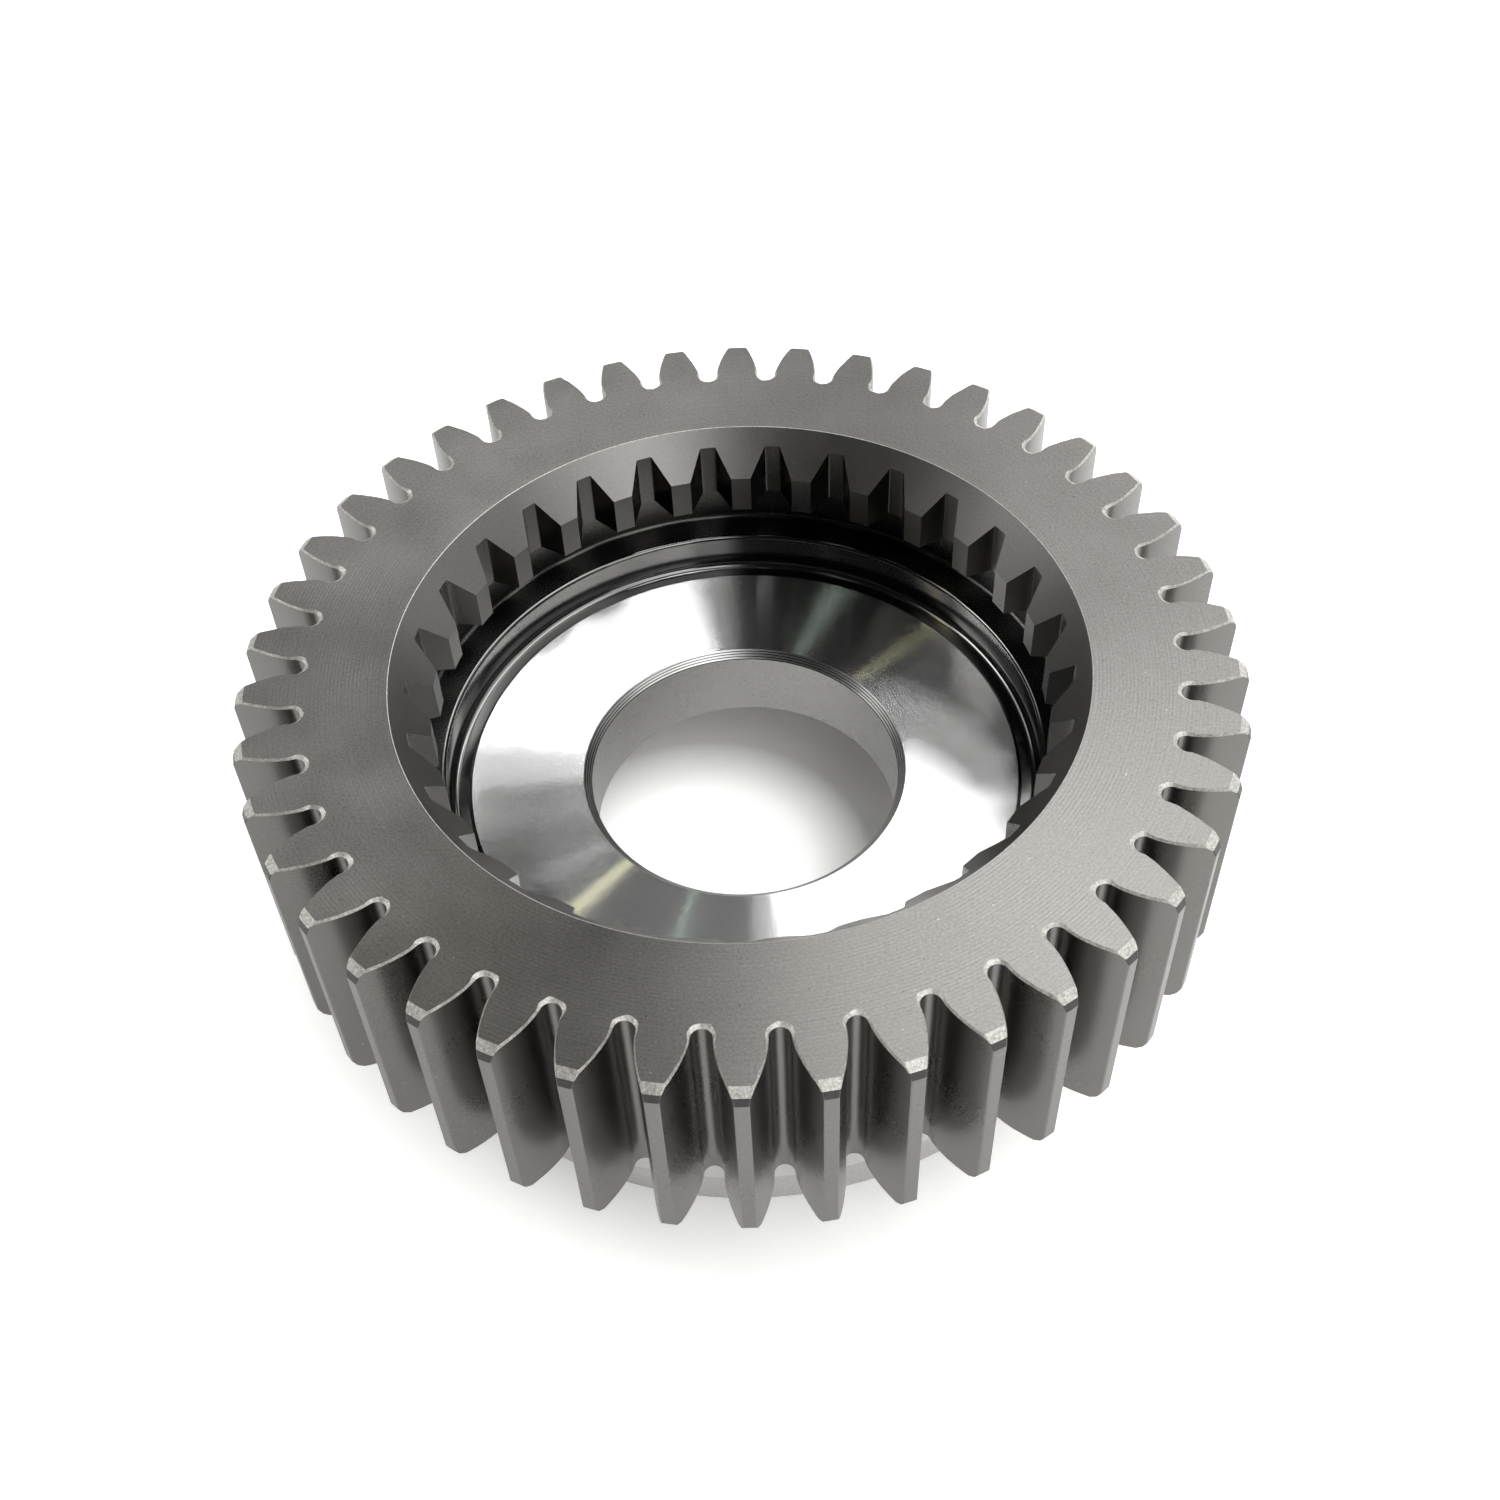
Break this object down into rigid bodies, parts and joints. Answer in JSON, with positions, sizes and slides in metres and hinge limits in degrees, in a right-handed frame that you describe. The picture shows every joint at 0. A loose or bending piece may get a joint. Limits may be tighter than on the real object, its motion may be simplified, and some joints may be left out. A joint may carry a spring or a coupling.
{
  "type": "transmission gear",
  "caption": "One-piece steel spur gear with deep outer teeth, an internal clutch ring in a stepped recess, a ground web with a plain bore, and a boss on the other side.",
  "frame": {"origin": "centre of the bore axis at the foot of the boss, on the surface that the gear stands on", "axes": "+Z along the bore axis, towards the toothed face with the clutch recess; an outer tooth stands on +Y"},
  "size_m": [0.2416, 0.242, 0.0894],
  "materials": {
    "gear": "turned and ground steel, satin on the faces and mirror-bright on the web"
  },
  "bodies": {
    "root": {"gear": "gear"}
  },
  "joints": []
}
